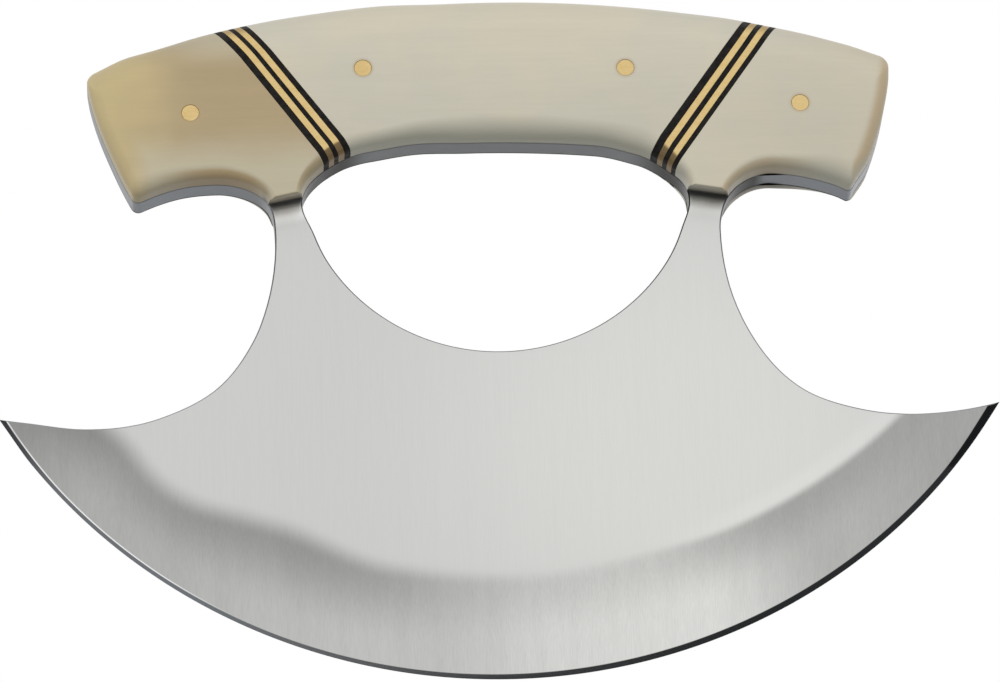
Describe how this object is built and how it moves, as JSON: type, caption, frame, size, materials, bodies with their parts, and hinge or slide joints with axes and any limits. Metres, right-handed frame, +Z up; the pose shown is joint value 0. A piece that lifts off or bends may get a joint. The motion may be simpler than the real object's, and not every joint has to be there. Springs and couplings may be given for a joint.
{
  "type": "ulu knife",
  "caption": "Crescent-bladed chopping knife with a curved bone grip above a finger hole, on a full tang with striped spacers and brass pins.",
  "frame": {"origin": "lowest point of the cutting edge, in the middle of the plate's thickness", "axes": "+Z up from the cutting edge to the grip, +X along the blade's width to the right seen from the front, -Y the front face"},
  "size_m": [0.1792, 0.0152, 0.1285],
  "materials": {
    "satin_steel": "satin, brushed up and down",
    "polished_bone": "smooth polished bone",
    "black_fibre": "black vulcanised fibre, sanded flush",
    "brass": "polished brass"
  },
  "bodies": {
    "root": {"blade_and_tang": "satin_steel", "front_left_grip": "polished_bone", "front_centre_grip": "polished_bone", "front_right_grip": "polished_bone", "front_left_inner_black_spacer": "black_fibre", "front_left_inner_brass_spacer": "brass", "front_left_middle_black_spacer": "black_fibre", "front_left_outer_brass_spacer": "brass", "front_left_outer_black_spacer": "black_fibre", "front_right_inner_black_spacer": "black_fibre", "front_right_inner_brass_spacer": "brass", "front_right_middle_black_spacer": "black_fibre", "front_right_outer_brass_spacer": "brass", "front_right_outer_black_spacer": "black_fibre", "rear_left_grip": "polished_bone", "rear_centre_grip": "polished_bone", "rear_right_grip": "polished_bone", "rear_left_inner_black_spacer": "black_fibre", "rear_left_inner_brass_spacer": "brass", "rear_left_middle_black_spacer": "black_fibre", "rear_left_outer_brass_spacer": "brass", "rear_left_outer_black_spacer": "black_fibre", "rear_right_inner_black_spacer": "black_fibre", "rear_right_inner_brass_spacer": "brass", "rear_right_middle_black_spacer": "black_fibre", "rear_right_outer_brass_spacer": "brass", "rear_right_outer_black_spacer": "black_fibre", "left_outer_pin": "brass", "left_inner_pin": "brass", "right_outer_pin": "brass", "right_inner_pin": "brass"}
  },
  "joints": []
}
